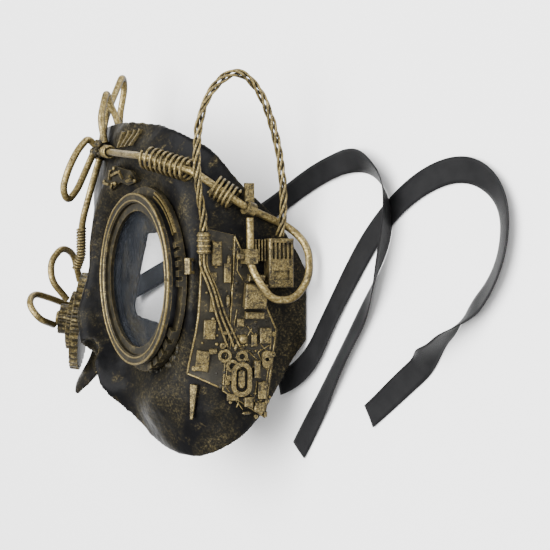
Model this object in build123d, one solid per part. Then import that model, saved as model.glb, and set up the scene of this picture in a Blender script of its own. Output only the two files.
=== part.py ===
from build123d import *
import math
import os

# A moulded half mask with a goggle, gold tubing, boards, gears and ribbons, lying face up.
#
# Every piece is built in the face frame: x towards the wearer's left, y up the forehead, z out of the
# face.  lay_down() then tips the whole mask so that both temples touch the table, and centres it.

# ---------------------------------------------------------------- driving dimensions, millimetres
LEFT_REACH = 82.0        # half width of the shell on the goggle side
RIGHT_REACH = 74.0       # half width of the shell on the gear side
LEFT_BOXINESS = 3.0      # how square the cross-section is on each side; 2 is an ellipse
RIGHT_BOXINESS = 2.4
TAPER = 2400.0           # how fast the shell narrows up and down
TAPER_Y = -5.0
CROWN = 65.0             # height of the forehead over the base line
CROWN_Y = 12.0
CROWN_RADIUS = 215.0
BASE_Z = 4.0             # where the sides of the shell turn straight down
SHELL_WALL = 2.0
SKIRT_Z = -6.0
NOSE_X, NOSE_RISE, NOSE_HALF = -9.0, 14.0, 12.0     # the bridge, beside the goggle's flange
NOSE_FROM_Y, NOSE_RUN = 44.0, 74.0                  # where the bridge starts and how long it grows
NOSE_LEAN, LEAN_FROM_Y, LEAN_RUN = 12.0, -12.0, 35.0  # how the bridge swings left towards its tip
SWELLS = (               # x, y, widths in x and y, and height of each bulge or hollow in the cheeks
    (-42.0, -58.0, 22.0, 18.0, 18.0),
    (50.0, -52.0, 22.0, 20.0, 5.0),
    (-32.0, 8.0, 17.0, 20.0, -7.0),
)
SIDE_FADE = 6.0          # how close to the side the goggle's bed ends
LOFT_LOW, LOFT_HIGH, LOFT_STEP = -84, 78, 9
SECTION_POINTS = 44
CUT_REACH = 140.0        # longer than the mask in any direction

LEFT_REST_Z = -2.5       # the straight edges that the mask lies on
RIGHT_REST_Z = 28.0

GOGGLE_X, GOGGLE_Y, GOGGLE_Z = 36.0, 0.0, 53.0
GOGGLE_TURN = 6.0        # degrees outward
FLANGE_R, FLANGE_BORE, FLANGE_T = 40.3, 33.6, 2.0
BARREL_R, BARREL_BORE, BARREL_H = 36.0, 33.3, 5.2
BEZEL_R, BEZEL_BORE, BEZEL_H = 37.5, 33.3, 2.0
LENS_R, LENS_T, LENS_SHELF = 33.0, 1.6, 2.2
SHELF_BORE = 31.0
RETAINER_BORE, RETAINER_H = 29.8, 1.5
BEZEL_CHAMFER = 0.6
SEAT_MARGIN, SEAT_FADE = 0.7, 12.0
LUG_COUNT = 5
LUG_ROWS = (             # first angle, pitch and span in degrees, width and height of each row of lugs
    (24.0, 6.0, 3.6, 2.4, 1.8),
    (-32.0, 9.6, 6.0, 3.0, 2.2),
)
STRIP_RADII, STRIP_W, STRIP_H, STRIP_ARC = (37.4, 39.2), 0.8, 1.0, (30, 70)
EYE_CORNER_R = 4.0

GAP = 0.3                # clearance between neighbours that are glued or pushed on
SLIP = 0.05              # clearance on a pin, pipe or spigot that another piece slides over
BEND_SHARE = 0.45        # share of the shorter run that each bend of a tube or ribbon uses
TUBE_R = 1.6             # the gold tubing
SPRING_R, SPRING_BORE = 5.2, 4.0
SPRING_CLEAR = 1.4       # between a spring and the skin
CORNER_STAND = 2.4       # how much further out the inner spring stands, to clear the shell's corner
LOOP_STAND = 3.6         # how much further out the tube's loop stands beside the connector
WRAP_COUNT, WRAP_PITCH, WRAP_T = 3, 2.2, 1.3
COLLAR_R, COLLAR_L = 3.1, 4.0
STUB_Z = 25.5            # where the tube's stub end runs up the temple
SPADE_T, SPADE_L, SPADE_W = 1.6, 8.0, 4.0
BRAID_R = 2.1
WIRE_R = 0.5
CLAMP_Y, CLAMP_LIFT, CLAMP_OVER = 10.0, 6.0, 2.6
CLAMP_L, CLAMP_W = 6.0, 5.4
NUB_R, NUB_L = 1.5, 3.0
FERRULE_Y, FERRULE_Z = 15.5, 44.5
FERRULE_R, FERRULE_LENGTH = 2.5, 9.0
PLUG_Y, PLUG_Z = 7.2, 12.0
PLUG_W, PLUG_L, PLUG_H = 11.0, 20.5, 6.5
PLUG_SLOTS = 5
BOARD_LIFT, BOARD_T = 0.3, 1.5
STAND_OFF = BOARD_LIFT + BOARD_T + GAP / 2
FERRULE_LIFT = STAND_OFF + FERRULE_R + 2 * GAP
RELAY_LIFT = STAND_OFF + 3 * GAP

RELAY_SPIN = -12.0
RELAYS = (               # name, y, z and width, length and height
    ("relay_cap", 1.4, 22.0, (7.0, 2.6, 3.2)),
    ("relay_body", -6.0, 22.4, (9.4, 10.5, 4.0)),
    ("relay_foot", -14.0, 22.6, (8.0, 2.8, 3.2)),
)
CHIPS = (                # y, z, width, length and height
    (-23.0, 17.5, 5.0, 6.5, 1.8), (-25.0, 22.2, 2.4, 5.0, 1.4), (-46.0, 18.6, 3.6, 7.0, 1.6),
    (-53.0, 19.5, 4.4, 4.0, 1.2), (-48.5, 30.0, 5.0, 3.0, 1.4), (3.0, 33.6, 3.0, 8.0, 1.4),
    (-17.5, 28.0, 3.0, 3.4, 1.6), (-20.0, 40.5, 5.0, 8.0, 1.4), (-33.0, 41.5, 5.5, 9.0, 1.2),
)
SINK_W, SINK_L, SINK_BASE = 5.0, 9.0, 1.2
SINK_FINS, SINK_PITCH, SINK_FIN_T, SINK_H = 4, 1.35, 0.6, 3.6
DOME_R = 2.2

GEAR_X, GEAR_Y = -38.0, -22.0
GEAR_LIFT = 5.0
GEAR_TURN, GEAR_PITCH = -22.0, -7.0
GEARS = {                # name: outer radius, teeth, thickness, tooth depth
    "cheek_gear_large": (23.5, 36, 4.0, 2.0),
    "cheek_gear_middle": (14.0, 28, 3.2, 1.4),
    "cheek_gear_small": (7.2, 14, 5.0, 1.2),
}
SPINDLE_R, CAP_T = 2.0, 1.6
SEAT_R, SEAT_SKIN = 5.5, 1.6     # the boss under the gears and how far it stands off the skin

RIBBON_W, RIBBON_T = 10.0, 0.8
RIBBON_RIGHT = (         # on the table, before the mask is centred: x, y and height
    (-66, -7, 3.8), (-44, 1, 1.6), (5, 15, 0.9), (50, 29, 0.9), (89, 45, 1.2), (121, 51, 2.4),
    (141, 37, 2.8), (140, 11, 2.4), (112, -26, 0.9), (75, -73, 0.9))
RIBBON_LEFT = (
    (66, -45, 5.2), (82, -40, 2.6), (100, -12, 1.2), (136, 30, 0.9), (178, 46, 0.9), (206, 33, 0.9),
    (204, 5, 0.9), (181, -16, 0.9), (152, -36, 0.9), (124, -54, 0.9))
TAB_W, TAB_T = 12.0, 1.2

pieces = {}


# ---------------------------------------------------------------- the shell's formula
def ease(t):
    """Smooth step from 0 to 1."""
    t = min(1.0, max(0.0, t))
    return t * t * (3 - 2 * t)


def hill(distance, width):
    """A smooth bump of height 1."""
    return math.exp(-(distance / width) ** 2)


def reach(x, y):
    """Half width of the shell at this height, on the side that x is on."""
    return (LEFT_REACH if x > 0 else RIGHT_REACH) - (y - TAPER_Y) ** 2 / TAPER


def seat_z(x):
    """The flat bed that the goggle's flange lies on."""
    return GOGGLE_Z - (x - GOGGLE_X) * math.tan(math.radians(GOGGLE_TURN))


def skin(x, y):
    """Outer height of the shell over the point x, y."""
    half = reach(x, y)
    boxiness = LEFT_BOXINESS if x > 0 else RIGHT_BOXINESS
    share = min(1.0, abs(x) / half)
    crown = CROWN - (y - CROWN_Y) ** 2 / (2 * CROWN_RADIUS) - BASE_Z
    z = BASE_Z + crown * (1 - share ** boxiness) ** (1 / boxiness)
    ridge_x = NOSE_X + NOSE_LEAN * ease((LEAN_FROM_Y - y) / LEAN_RUN)
    z += NOSE_RISE * ease((NOSE_FROM_Y - y) / NOSE_RUN) * hill(x - ridge_x, NOSE_HALF)
    for mid_x, mid_y, wide, tall, rise in SWELLS:
        z += rise * hill(x - mid_x, wide) * hill(y - mid_y, tall)
    away = math.hypot(x - GOGGLE_X, y - GOGGLE_Y) - (FLANGE_R + SEAT_MARGIN)
    bed = 1 - ease(away / SEAT_FADE)
    if x > 0:
        bed *= ease((half - x) / SIDE_FADE)
    return z + (seat_z(x) - z) * bed


def normal(x, y):
    """Outward unit normal of the skin."""
    step = 0.5
    across = (skin(x + step, y) - skin(x - step, y)) / (2 * step)
    along = (skin(x, y + step) - skin(x, y - step)) / (2 * step)
    return Vector(-across, -along, 1).normalized()


def over(x, y, lift=0.0):
    """Point above the front of the skin, lifted along its normal."""
    return Vector(x, y, skin(x, y)) + normal(x, y) * lift


def side_x(y, z, side=1):
    """x of a flank where the skin is at height z; side is 1 on the left and -1 on the right."""
    if z <= BASE_Z:
        return side * reach(side, y)
    low, high = GOGGLE_X + FLANGE_R / 2, reach(side, y) - 1e-6
    for _ in range(50):
        middle = (low + high) / 2
        if skin(side * middle, y) > z:
            low = middle
        else:
            high = middle
    return side * low


def flank(y, z, lift=0.0):
    """Point on the left flank at this y and z, moved out along x."""
    return Vector(side_x(y, z), y, z) + Vector(lift, 0, 0)


def flank_plane(y, z, lift=0.0, spin=0.0):
    """Plane on the left flank: its z is the outward normal, its y points up the forehead."""
    dz = (side_x(y, z + 3) - side_x(y, z - 3)) / 6
    dy = (side_x(y + 3, z) - side_x(y - 3, z)) / 6
    out = Vector(1, -dy, -dz).normalized()
    back = Vector(0, 0, -1)
    across = (back - out * back.dot(out)).normalized()
    spot = Plane(origin=flank(y, z), x_dir=across, z_dir=out)
    return spot.offset(lift).rotated((0, 0, spin))


# ---------------------------------------------------------------- shared shapes
def section(y, inset):
    """Closed cross-section of a skin layer in the plane of this y, between inset and inset + wall."""
    def arch(depth):
        path = [(reach(1, y) - depth, SKIRT_Z)]
        for k in range(181):
            angle = math.radians(90 - k)
            side = math.copysign(1, angle)
            half = reach(side, y)
            boxiness = LEFT_BOXINESS if side > 0 else RIGHT_BOXINESS
            x = half * side * abs(math.sin(angle)) ** (2 / boxiness)
            x = min(max(x, -reach(-1, y) + 1e-4), reach(1, y) - 1e-4)
            n = normal(x, y) if abs(x) < half - 1 else Vector(side, 0, 0.05)
            flat = math.hypot(n.X, n.Z)
            path.append((x - depth * n.X / flat, skin(x, y) - depth * n.Z / flat))
        path.append((-reach(-1, y) + depth, SKIRT_Z))
        return [Vector(x, y, z) for x, z in spread(path, SECTION_POINTS)]
    top = Spline(*arch(inset[0]))
    under = Spline(*arch(inset[1])[::-1])
    ends = Line(top @ 1, under @ 0), Line(under @ 1, top @ 0)
    return Wire([top.edge(), ends[0].edge(), under.edge(), ends[1].edge()])


def spread(path, count):
    """count points evenly spaced by length along a polyline."""
    runs = [math.dist(a, b) for a, b in zip(path, path[1:])]
    total, out, k, done = sum(runs), [], 0, 0.0
    for n in range(count):
        want = total * n / (count - 1)
        while k < len(runs) - 1 and done + runs[k] < want:
            done += runs[k]
            k += 1
        t = min(1.0, (want - done) / runs[k]) if runs[k] else 0.0
        (ax, az), (bx, bz) = path[k], path[k + 1]
        out.append((ax + (bx - ax) * t, az + (bz - az) * t))
    return out


def layer(outer, inner):
    """A skin layer as one lofted solid; outer and inner are depths below the shell's outer face."""
    rows = range(LOFT_LOW, LOFT_HIGH + 1, LOFT_STEP)
    return Solid.make_loft([section(y, (outer, inner)) for y in rows])


def bends(points):
    """A path of straight runs joined by tangent arcs that use most of each run."""
    points = [Vector(p) for p in points]
    if len(points) == 2:
        return Line(*points)
    radii = []
    for a, b, c in zip(points, points[1:], points[2:]):
        turn = math.radians((b - a).get_angle(c - b))
        radii.append(BEND_SHARE * min((b - a).length, (c - b).length) / math.tan(turn / 2))
    return FilletPolyline(*points, radius=radii)


def tube(points, radius, bore=0.0):
    """A round bar or pipe along a bent path."""
    path = bends(points)
    face = Circle(radius) - Circle(bore) if bore else Circle(radius)
    return sweep(Plane(origin=path @ 0, z_dir=path % 0) * face, path=path)


def ring(outer, bore, height, z=0.0):
    """A flat ring standing at height z."""
    return Pos(0, 0, z) * extrude(Circle(outer) - Circle(bore), height)


def block(spot, width, length, height, edge=0.4):
    """A box with eased top edges, standing on a plane."""
    body = Pos(0, 0, height / 2) * Box(width, length, height)
    return spot * chamfer(body.faces().sort_by(Axis.Z)[-1].edges(), edge)


def save(name, shape):
    """Keep a piece under its node name."""
    pieces[name] = shape


# ---------------------------------------------------------------- shell
def front_outline():
    """The shell's outline seen from the front, as a closed face."""
    top = Spline((-92, 40), (-66, 58), (-38, 69), (0, 71), (43, 67.5), (67, 60), (78, 50), (94, 34))
    chin = Spline((94, -50), (84, -62), (74, -71), (59, -76), (41, -74), (27, -69), (14, -58), (6, -43),
                  (-2, -29))
    under = Spline((-7, -29.5), (-17, -41), (-28, -51), (-40, -57), (-51, -50), (-62, -40), (-92, -30))
    wires = [top, Line(top @ 1, chin @ 0), chin, Line(chin @ 1, under @ 0), under,
             Line(under @ 1, top @ 0)]
    return make_face(Wire([w.edge() for w in wires]))


def side_cut(rest_z, rest_low, rest_high, rise_up, rise_down):
    """What is cut off below the edge of one temple, seen from the side, in y and z."""
    up = Spline((rest_high, rest_z), *rise_up)
    down = Spline((rest_low, rest_z), *rise_down)
    low_end, high_end = down @ 1, up @ 1
    around = Polyline(low_end, (low_end.X, -CUT_REACH), (high_end.X, -CUT_REACH), high_end)
    flat = Line(up @ 0, down @ 0)
    return make_face(Wire([up.edge(), *around.edges(), down.edge(), flat.edge()]))


def left_cut():
    """What is cut off below the left temple's edge."""
    return side_cut(
        LEFT_REST_Z, -26, 4,
        [(17, 5), (29, 14), (38, 24), (52, 35), (68, 46), (84, 56)],
        [(-40, 7.5), (-53, 15), (-64, 23.5), (-72, 33), (-90, 58)])


def right_cut():
    """What is cut off below the right temple's edge."""
    return side_cut(
        RIGHT_REST_Z, -15, 15,
        [(30, 32), (45, 39), (60, 45), (84, 54)],
        [(-25, 31), (-38, 40), (-50, 52), (-90, 92)])


def trim(shape):
    """Cut a skin layer to the mask's outline."""
    column = Pos(0, 0, 2 * SKIRT_Z) * extrude(front_outline(), CUT_REACH, dir=(0, 0, 1))
    shape = shape & column
    yz = Plane(origin=(0, 0, 0), x_dir=(0, 1, 0), z_dir=(1, 0, 0))
    shape = shape - extrude(yz * left_cut(), CUT_REACH)
    return shape - extrude(yz * right_cut(), -CUT_REACH)


def eye_holes():
    """Prisms through both eye openings."""
    left = make_face(FilletPolyline(
        (15, -16), (57, -20), (66, -8), (65, 10), (58, 21), (31, 19.5), radius=EYE_CORNER_R, close=True))
    right = make_face(Spline(
        (-15, 2), (-22, -12), (-38, -18), (-55, -13), (-61, 1), (-55, 16), (-38, 26), (-21, 21),
        periodic=True))
    return extrude(left, CUT_REACH) + extrude(right, CUT_REACH)


def make_shell():
    """The moulded shell."""
    save("face_shell", trim(layer(0, SHELL_WALL)) - eye_holes())


# ---------------------------------------------------------------- goggle
def goggle_place():
    """Where the goggle sits; its z is the goggle's axis."""
    return Pos(GOGGLE_X, GOGGLE_Y, GOGGLE_Z) * Rot(0, GOGGLE_TURN, 0) * Pos(0, 0, 3 * GAP)


def arc_band(inner, outer, start, stop, height, z):
    """A curved strip between two angles, in degrees."""
    sweep_angle = stop - start
    edge = [
        CenterArc((0, 0), outer, start, sweep_angle),
        CenterArc((0, 0), inner, start, sweep_angle),
    ]
    sides = Line(edge[0] @ 0, edge[1] @ 0), Line(edge[0] @ 1, edge[1] @ 1)
    face = make_face(Wire([edge[0].edge(), sides[1].edge(), edge[1].edge(), sides[0].edge()]))
    return Pos(0, 0, z) * extrude(face, height)


def make_goggle():
    """Flange with its lugs, barrel, bezel, lens and retaining ring."""
    place = goggle_place()
    flange = ring(FLANGE_R, BARREL_R + SLIP, FLANGE_T)
    for first, pitch, span, wide, tall in LUG_ROWS:
        for k in range(LUG_COUNT):
            stop = first - k * pitch
            flange += arc_band(FLANGE_R - wide, FLANGE_R, stop - span, stop, tall, FLANGE_T)
    save("goggle_flange", place * flange)
    strips = [arc_band(r, r + STRIP_W, *STRIP_ARC, STRIP_H, FLANGE_T) for r in STRIP_RADII]
    save("goggle_ridge_strips", place * Compound(children=[s.solid() for s in strips]))
    barrel = ring(BARREL_R, BARREL_BORE, BARREL_H) + ring(BARREL_BORE, SHELF_BORE, LENS_SHELF)
    save("goggle_barrel", place * barrel)
    bezel = ring(BEZEL_R, BEZEL_BORE, BEZEL_H, BARREL_H)
    bezel = chamfer(bezel.edges().filter_by(GeomType.CIRCLE).group_by(Axis.Z)[-1], BEZEL_CHAMFER)
    save("goggle_bezel", place * bezel)
    save("goggle_lens", place * (Pos(0, 0, LENS_SHELF) * extrude(Circle(LENS_R), LENS_T)))
    retainer = ring(LENS_R, RETAINER_BORE, RETAINER_H, LENS_SHELF + LENS_T)
    save("lens_retaining_ring", place * retainer)


# ---------------------------------------------------------------- brow tube and springs
def brow_route():
    """The brow tube's corners: over the brow, round the temple's edge and back up to the clamp."""
    lift = SPRING_R + SPRING_CLEAR
    low = TUBE_R + 2 * GAP
    high = lift + CORNER_STAND
    loop = lift + LOOP_STAND
    return [
        over(2, 57, 2 * TUBE_R), over(35, 53.5, 3 * TUBE_R), over(54, 51, high), flank(45, 47, high),
        flank(41, 41.5, lift), flank(31, 28.5, lift), flank(27, 18, low), flank(22, 6, low),
        flank(14, 1.5, loop), flank(1, 1, loop), flank(-8, 8, loop), flank(-8, 17.5, loop),
        flank(-2, 22.5, loop), flank(6, STUB_Z, CLAMP_LIFT), flank(26, STUB_Z, CLAMP_LIFT),
    ]


def make_springs(route):
    """Both springs, as close-wound sleeves on straight runs of the tube."""
    for name, run, share in (("brow_spring_inner", 2, (0.06, 0.96)), ("brow_spring_outer", 4, (0.1, 0.8))):
        start, stop = route[run], route[run + 1]
        ends = [start + (stop - start) * part for part in share]
        save(name, tube(ends, SPRING_R, bore=SPRING_BORE))


def make_knot(route):
    """Three turns of wire round the tube's end at the middle of the forehead."""
    wraps = []
    heading = (route[1] - route[0]).normalized()
    for k in range(WRAP_COUNT):
        plane = Plane(origin=route[0] + heading * (2.5 + WRAP_PITCH * k), z_dir=heading)
        wraps.append((plane * ring(TUBE_R + WRAP_T, TUBE_R + SLIP, WRAP_PITCH - 2 * GAP)).solid())
    save("knot_wrap", Compound(children=wraps))


def make_collar(route, bore):
    """The collar with a flat spade where the tube's stub end meets the run along the temple."""
    stub, above, below = route[-1], route[5], route[6]
    cross = above + (below - above) * ((above.Z - stub.Z) / (above.Z - below.Z))
    along = (below - above).normalized()
    start = Plane(origin=cross - along * COLLAR_L / 2, z_dir=along)
    collar = start * ring(COLLAR_R, TUBE_R + SLIP, COLLAR_L)
    spade = Pos(cross.X, cross.Y + TUBE_R + SPADE_L / 2 + 1, cross.Z) * Box(SPADE_T, SPADE_L, SPADE_W)
    save("stub_collar", collar + spade - bore)


def make_brow():
    """The brow tube with its springs, knot, collar and clamp."""
    route = brow_route()
    save("brow_tube", tube(route, TUBE_R))
    make_springs(route)
    make_knot(route)
    bore = tube(route, TUBE_R + SLIP)
    make_collar(route, bore)
    stub = route[-1]
    foot = flank(CLAMP_Y, stub.Z)
    height = CLAMP_LIFT + CLAMP_OVER - RELAY_LIFT
    body = Pos(foot.X + RELAY_LIFT + height / 2, CLAMP_Y, stub.Z + 0.4) * Box(height, CLAMP_L, CLAMP_W)
    save("tube_clamp", body - bore)
    side = Plane(origin=(foot.X + CLAMP_LIFT, CLAMP_Y, stub.Z + 0.4 + CLAMP_W / 2 + SLIP), z_dir=(0, 0, 1))
    nub = side * extrude(Circle(NUB_R), NUB_L)
    save("clamp_nub", fillet(nub.edges().sort_by(Axis.Z)[-1], NUB_R * 2 / 3))


# ---------------------------------------------------------------- braided loop and its fittings
def braid_route():
    """From the ferrule up over the temple and back down into the connector block."""
    out = LEFT_REACH
    start = flank(FERRULE_Y, FERRULE_Z, FERRULE_LIFT) + Vector(0, FERRULE_LENGTH / 2, 0)
    end = flank(PLUG_Y, PLUG_Z, PLUG_H - BRAID_R) + Vector(0, PLUG_L / 2 + 3 * GAP, 0)
    return [
        start, start + Vector(0, 6, 0), Vector(out + 6, 38, 49), Vector(out + 7, 52, 50),
        Vector(out + 8.5, 68, 49), Vector(out + 10.5, 81, 43), Vector(out + 12, 86.5, 33),
        Vector(out + 11.5, 77, 23), Vector(out + 9.5, 62, 16.5), Vector(out + 8.5, 46, 13),
        Vector(out + 8.4, 31, 12), end + Vector(2.6, 7, 0), end,
    ]


def make_braid():
    """The braided loop, its ferrule and tab, and the three wires with their terminals."""
    save("braided_loop", tube(braid_route(), BRAID_R))
    middle = flank(FERRULE_Y, FERRULE_Z, FERRULE_LIFT)
    turned = Plane(origin=middle - Vector(0, FERRULE_LENGTH / 2, 0), z_dir=(0, 1, 0))
    ferrule = turned * extrude(Circle(FERRULE_R), FERRULE_LENGTH)
    save("braid_ferrule", chamfer(ferrule.edges().filter_by(GeomType.CIRCLE), 0.3))
    save("ferrule_tab", block(flank_plane(11, 38, STAND_OFF), 4.2, 10, 1.6))
    wires = []
    for k, (dz, dl) in enumerate(((1.4, 0.0), (0.0, 0.9), (-1.4, 0.0))):
        lift = STAND_OFF + WIRE_R + 0.2
        start = middle + Vector(dl - 0.4, -FERRULE_LENGTH / 2, dz)
        path = [start, start + Vector(0, -5, 0), flank(-4, 40 + dz, lift + 1 + dl),
                flank(-14, 37 + 1.3 * dz, lift + 0.4), flank(-23, 33 + 1.6 * dz, lift + dl),
                flank(-27.5, 31 + 1.8 * dz, lift)]
        wires.append(tube(path, WIRE_R).solid())
    save("signal_wires", Compound(children=wires))
    eyes = []
    for y, z, size in ((-31, 33.5, 2.8), (-35.5, 30.5, 2.6), (-31.5, 27, 2.4)):
        spot = flank_plane(y, z, STAND_OFF)
        eyes.append((spot * (extrude(Circle(size) - Circle(size - 1.2), 1.6))).solid())
    save("wire_terminals", Compound(children=eyes))


def make_connector():
    """The moulded plug with its slots and the pins in them."""
    spot = flank_plane(PLUG_Y, PLUG_Z, GAP)
    body = Pos(0, 0, PLUG_H / 2) * Box(PLUG_W, PLUG_L, PLUG_H)
    body = chamfer(body.faces().sort_by(Axis.Z)[-1].edges(), 0.5)
    pins = []
    pitch = PLUG_W / (PLUG_SLOTS + 1)
    for k in range(PLUG_SLOTS):
        x = (k - (PLUG_SLOTS - 1) / 2) * pitch
        body -= Pos(x, PLUG_L / 4, PLUG_H) * Box(1.0, PLUG_L / 3, 3)
        pins.append((spot * Pos(x, PLUG_L / 4, PLUG_H - 1.1) * Box(0.6, PLUG_L / 4, 0.7)).solid())
    body -= Pos(0, -PLUG_L / 4, PLUG_H) * Box(PLUG_W - 4, 4, 2)
    save("connector_block", spot * body)
    save("connector_pins", Compound(children=pins))


# ---------------------------------------------------------------- boards and what stands on them
def flank_patch(points):
    """Prism along x over a y, z outline on the left flank."""
    yz = Plane(origin=(GOGGLE_X + 10, 0, 0), x_dir=(0, 1, 0), z_dir=(1, 0, 0))
    return extrude(yz * make_face(Polyline(*points, close=True)), 80)


def front_patch(points):
    """Prism along z over an x, y outline on the front."""
    return Pos(0, 0, 30) * extrude(make_face(Polyline(*points, close=True)), 60)


def make_boards():
    """The two boards on the temple, and the badge and fins on the forehead."""
    skin_layer = layer(-BOARD_LIFT - BOARD_T, -BOARD_LIFT)
    dark = [(22, 44), (19, 31), (-45, 35), (-39, 47)]
    gold = [(19, 30.4), (-21, 12), (-58, 17), (-46, 34.4)]
    save("board_dark", skin_layer & flank_patch(dark))
    save("board_gold", skin_layer & flank_patch(gold))
    badge = [(4, 45), (17, 50.4), (30, 47.5), (29, 43), (21, 41.5), (17, 43), (9, 39.5)]
    save("forehead_badge", skin_layer & front_patch(badge))
    fins = []
    for x in (15, 20.5, 26, 31.5):
        rib = [(x, 58.5), (x + 1.5, 58.4), (x + 2, 65.5), (x + 0.5, 66)]
        fins.append((skin_layer & front_patch(rib)).solid())
    save("brow_fins", Compound(children=fins))


def oval(width, length):
    """A rounded slot shape, long in y."""
    return SlotCenterToCenter(length - width, width, rotation=90)


def make_relays():
    """The capsule of three blocks in the middle of the board."""
    for name, y, z, size in RELAYS:
        save(name, block(flank_plane(y, z, RELAY_LIFT, RELAY_SPIN), *size))


def make_rings():
    """The oval ring with its boss, the washer, and the small posts and studs."""
    spot = flank_plane(-41, 27, STAND_OFF)
    save("oval_ring", spot * extrude(oval(8.4, 14.4) - oval(4.8, 10.6), 2.6))
    save("ring_boss", spot * extrude(oval(2.6, 7.4), 1.8))
    washer = extrude(oval(4.4, 7.4) - Circle(0.9), 1.4)
    save("small_washer", flank_plane(-33, 16.8, STAND_OFF) * washer)
    save("post_pin", block(flank_plane(-37, 21, STAND_OFF), 2.6, 7.2, 2.8))
    save("square_block", block(flank_plane(-50.5, 24, STAND_OFF), 3.6, 4, 2.6))
    dome = Sphere(DOME_R) & Pos(0, 0, DOME_R) * Box(3 * DOME_R, 3 * DOME_R, 2 * DOME_R)
    save("dome_stud", flank_plane(-24.5, 26.5, STAND_OFF) * dome)


def make_board_parts():
    """Everything that stands on the boards."""
    make_relays()
    make_rings()
    chips = []
    for y, z, width, length, height in CHIPS:
        chips.append(block(flank_plane(y, z, STAND_OFF), width, length, height, GAP).solid())
    save("chip_row", Compound(children=chips))
    sink = Pos(0, 0, SINK_BASE / 2) * Box(SINK_W, SINK_L, SINK_BASE)
    for k in range(SINK_FINS):
        across = (k - (SINK_FINS - 1) / 2) * SINK_PITCH
        sink += Pos(across, 0, SINK_H / 2 + GAP) * Box(SINK_FIN_T, SINK_L, SINK_H)
    save("heat_sink_fins", flank_plane(12.5, 20.2, 2 * GAP) * sink)
    bracket = Pos(0, 0, 1.5) * (Box(2.6, 6.6, 3) - Pos(0, 0, -0.8) * Box(3, 4, 2))
    save("u_bracket", flank_plane(6, 46.6, STAND_OFF) * bracket)
    hand = extrude(make_face(Polyline((-1.6, 7), (1.6, 7), (0.5, -8), (-0.5, -8), close=True)), 1.2)
    save("pointer_hand", flank_plane(-50.5, 44, 2 * GAP) * hand)


# ---------------------------------------------------------------- forehead loops
def make_forehead_loops():
    """The three loops over the forehead and the tube down beside the nose."""
    front = [
        (0, 60.5, 67.5), (1, 63.5, 71), (4, 58, 76.5), (6, 49, 81.5), (5.5, 40, 84), (2.5, 34.5, 81),
        (-1, 40, 75.5), (-3, 50, 70.5), (-4.5, 56.5, 67.2),
    ]
    save("forehead_loop_front", tube(front, TUBE_R))
    middle = [over(-4, 61.5, 2.4), (-5, 73, 63.5), (-8.5, 82, 60.5), (-11.5, 86.5, 58.5),
              (-13.5, 81, 56.5), (-13.5, 74, 53), (-13, 67, 52)]
    save("forehead_loop_mid", tube(middle, TUBE_R))
    back = [over(-10, 62, 2.4), (-17, 76, 57.2), (-23, 87, 51), (-29, 96.5, 45.5), (-34, 91, 43),
            (-36, 77, 45), (-36, 67, 44.8)]
    save("forehead_loop_back", tube(back, TUBE_R))
    down = [over(-8.5, 54.5, 2.2), over(-11, 41, 3.4), over(-17, 24, 5.4), (-26, 10, 67), (-30.5, 4, 68)]
    save("nose_side_tube", tube(down, TUBE_R))


# ---------------------------------------------------------------- gears on the right cheek
def gear(outer, teeth, thickness, depth):
    """A flat gear with trapezoid teeth and a bore."""
    pitch = 2 * math.pi / teeth
    rim = []
    for k in range(teeth):
        for share, radius in ((0.0, outer - depth), (0.22, outer), (0.5, outer), (0.72, outer - depth)):
            angle = (k + share) * pitch
            rim.append((radius * math.cos(angle), radius * math.sin(angle)))
    return extrude(make_face(Polyline(*rim, close=True)) - Circle(SPINDLE_R + SLIP), thickness)


def make_gears():
    """The stack of three gears on its spindle and seat, and the loops that spring from it."""
    foot = over(GEAR_X, GEAR_Y, GEAR_LIFT)
    place = Pos(foot.X, foot.Y, foot.Z) * Rot(0, GEAR_TURN, 0) * Rot(GEAR_PITCH, 0, 0)
    z = 0.0
    tops = {}
    for name, (outer, teeth, thickness, depth) in GEARS.items():
        save(name, place * Pos(0, 0, z) * gear(outer, teeth, thickness, depth))
        z += thickness + SLIP
        tops[name] = z
    length = z + 1.0
    pin = Pos(0, 0, -1) * Cylinder(SPINDLE_R, length, align=(Align.CENTER, Align.CENTER, Align.MIN))
    cap = Pos(0, 0, z) * Cylinder(SPINDLE_R + CAP_T, CAP_T, align=(Align.CENTER, Align.CENTER, Align.MIN))
    save("gear_spindle", place * (pin + chamfer(cap.edges().group_by(Axis.Z)[-1], 0.5)))
    boss = ring(SEAT_R, SPINDLE_R + SLIP, GEAR_LIFT - SEAT_SKIN - 2 * SLIP, SEAT_SKIN - GEAR_LIFT)
    save("gear_seat", place * boss)
    upper = [place * Pos(8.6, 10, tops["cheek_gear_middle"] + TUBE_R), (-31, -2, 80), (-33, 7, 80),
             (-37, 14, 73.5), (-42, 11, 66.5), place * Pos(-7, 19, tops["cheek_gear_large"] + TUBE_R)]
    lower = [place * Pos(-10.5, 6, tops["cheek_gear_middle"] + TUBE_R), (-47, -10.5, 77), (-43, -8, 86),
             (-36, -13, 90), (-31, -20, 86), place * Pos(6, -3, tops["cheek_gear_small"] + TUBE_R)]
    for name, route in (("cheek_loop_upper", upper), ("cheek_loop_lower", lower)):
        route = [p.position if isinstance(p, Location) else Vector(p) for p in route]
        save(name, tube(route, TUBE_R))


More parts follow.
